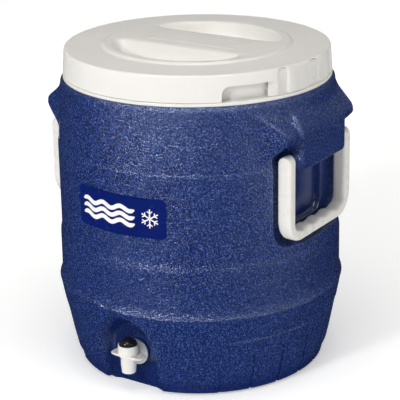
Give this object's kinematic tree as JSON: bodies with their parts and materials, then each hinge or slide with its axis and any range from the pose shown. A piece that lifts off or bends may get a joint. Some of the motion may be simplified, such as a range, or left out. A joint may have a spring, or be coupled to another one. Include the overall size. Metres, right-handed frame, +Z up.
{
  "type": "insulated drink dispenser",
  "caption": "Round foam-insulated drink jug with a screw lid, two swing handles in side pockets and a push-button tap in a front alcove.",
  "frame": {"origin": "centre of the flat base, on the surface the jug stands on", "axes": "+Z up along the jug's axis, -Y towards the tap and the label, +X and -X towards the two handles"},
  "size_m": [0.36, 0.36, 0.403],
  "materials": {
    "shell_blue": "satin",
    "white_plastic": "satin",
    "handle_white": "gloss",
    "lid_white": "satin",
    "label_blue": "gloss",
    "button_black": "gloss",
    "seal_rubber": "matte",
    "spring_steel": "satin",
    "foam": "matte"
  },
  "bodies": {
    "jug": {"outer_shell": "shell_blue", "fill_plug": "shell_blue", "foam_body": "foam", "inner_liner": "white_plastic", "label": "label_blue", "tap_body": "handle_white", "tap_stem_guide": "white_plastic", "tap_stem_ring": "seal_rubber", "tap_spring": "spring_steel", "tap_gasket_outer": "seal_rubber", "tap_gasket_inner": "seal_rubber", "tap_nut": "white_plastic"},
    "tap_plunger": {"tap_button": "button_black", "tap_stem": "white_plastic", "tap_seal": "seal_rubber"},
    "handle_right": {"handle_right": "handle_white"},
    "handle_left": {"handle_left": "handle_white"},
    "lid_ring": {"lid_gasket": "seal_rubber"},
    "lid": {"lid_top": "lid_white", "lid_foam": "foam", "lid_pan": "white_plastic"}
  },
  "joints": [
    {"name": "handle_right_swing", "type": "hinge", "parent": "jug", "child": "handle_right", "pos_m": [0.1653, 0, 0.29], "axis": [0, -1, 0], "range_deg": [0, 140]},
    {"name": "handle_left_swing", "type": "hinge", "parent": "jug", "child": "handle_left", "pos_m": [-0.1653, 0, 0.29], "axis": [0, 1, 0], "range_deg": [0, 140]},
    {"name": "tap_button_press", "type": "slide", "parent": "jug", "child": "tap_plunger", "axis": [0, 0, -1], "range_m": [0, 0.005], "stiffness_N_per_m": 600, "springref_m": -0.005, "deforming": ["tap_spring"]},
    {"name": "lid_lift", "type": "slide", "parent": "jug", "child": "lid_ring", "axis": [0, 0, 1], "range_m": [0, 0.0721]},
    {"name": "lid_turn", "type": "hinge", "parent": "lid_ring", "child": "lid", "pos_m": [0, 0, 0.39], "axis": [0, 0, 1], "range_deg": [0, 720]}
  ],
  "couplings": [
    {"joint": "lid_lift", "follows": "lid_turn", "m_per_rad": 0.0057296}
  ]
}
